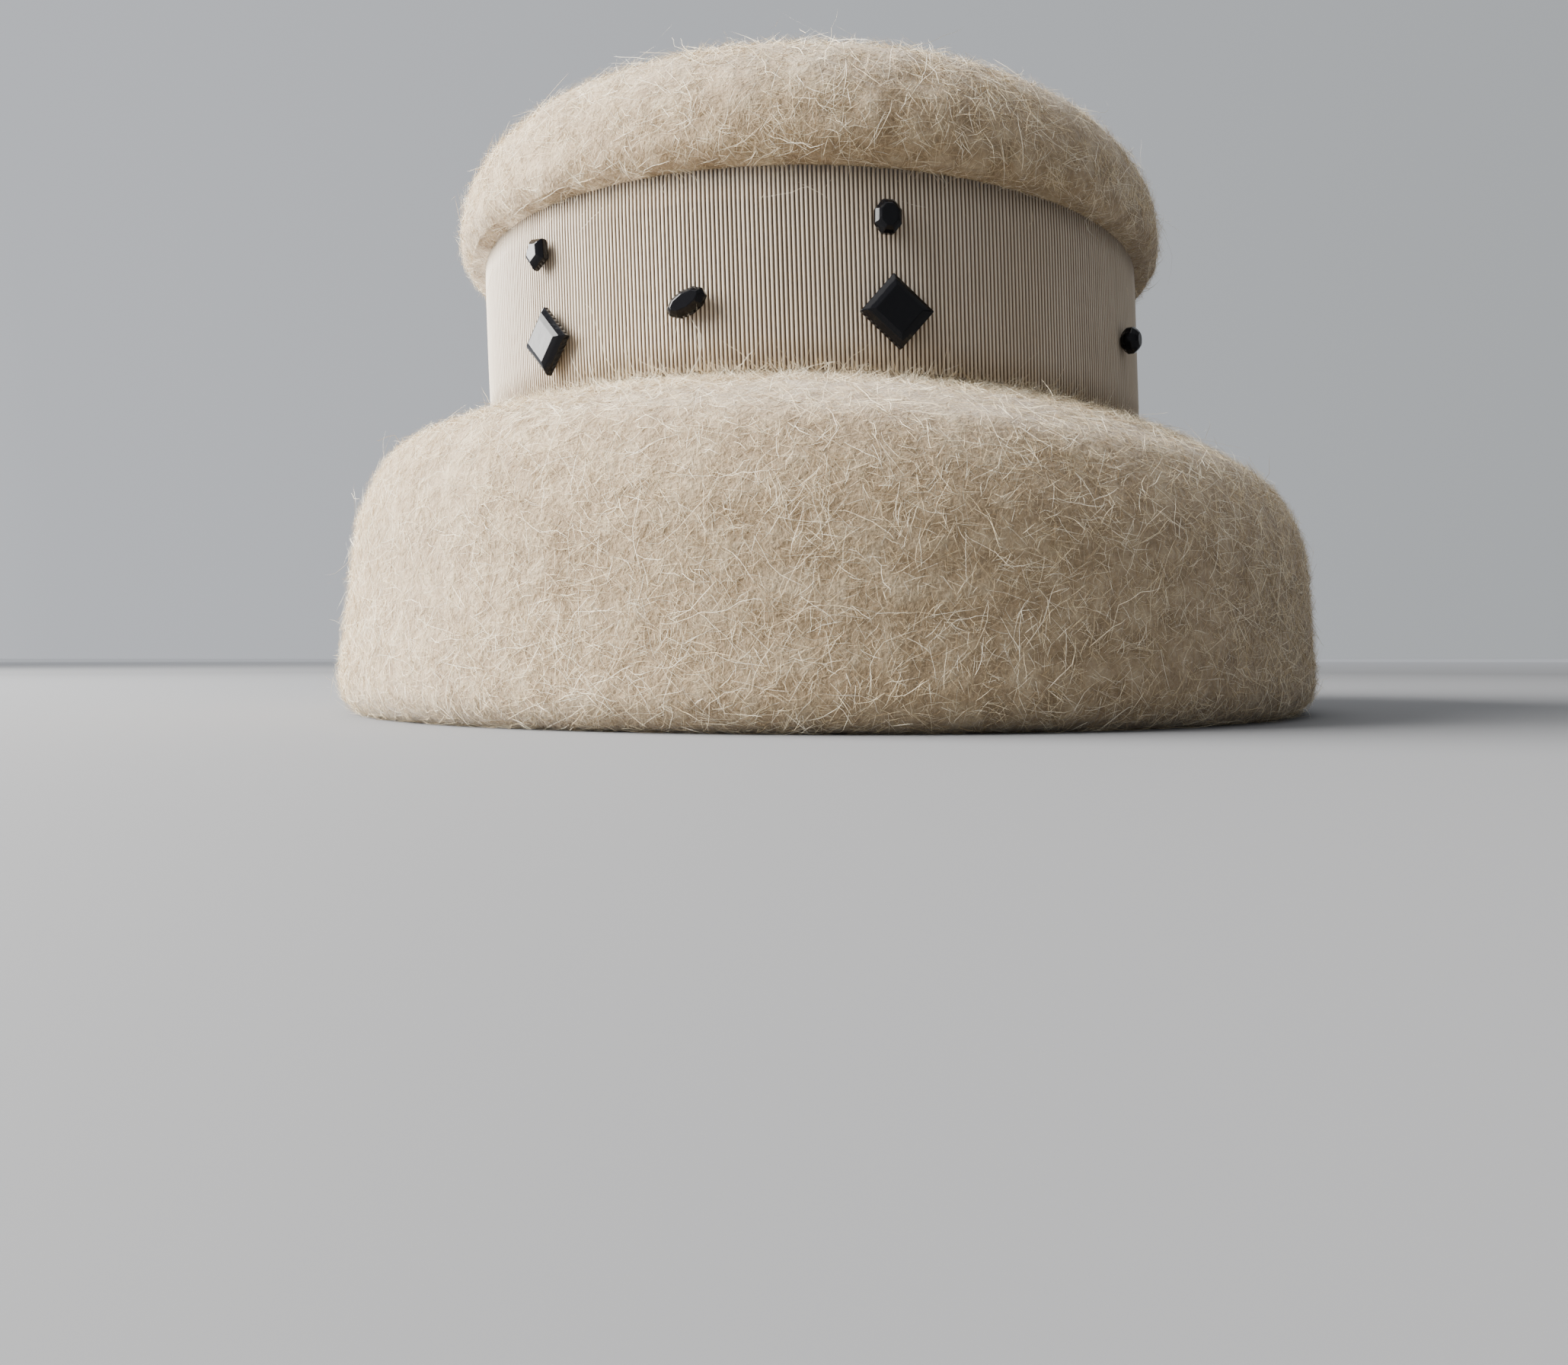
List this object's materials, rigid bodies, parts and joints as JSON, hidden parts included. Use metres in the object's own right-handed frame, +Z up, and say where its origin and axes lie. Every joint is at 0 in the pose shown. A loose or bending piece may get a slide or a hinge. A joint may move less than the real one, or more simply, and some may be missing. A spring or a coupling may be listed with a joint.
{
  "type": "cloche hat",
  "caption": "Long-haired felt cloche with a domed oval crown, a deep turned-down brim rolled into a hem, a grosgrain band and black faceted beads.",
  "frame": {"origin": "centre of the rim, on the surface the hat rests on", "axes": "+Z up through the crown, -Y to the hat's front, +X to the left of a wearer"},
  "size_m": [0.2584, 0.2796, 0.16],
  "materials": {
    "felt": "long-haired oatmeal felt, matt",
    "hem_felt": "smooth tan felt, matt",
    "grosgrain": "ribbed cream ribbon, low sheen",
    "jet_glass": "opaque jet black, cut and polished"
  },
  "bodies": {
    "root": {"crown": "felt", "brim": "felt", "hem_welt": "hem_felt", "ribbon_band": "grosgrain", "bead_pentagon": "jet_glass", "bead_square_side": "jet_glass", "bead_oval": "jet_glass", "bead_cushion": "jet_glass", "bead_square_front": "jet_glass", "bead_round": "jet_glass"}
  },
  "joints": []
}
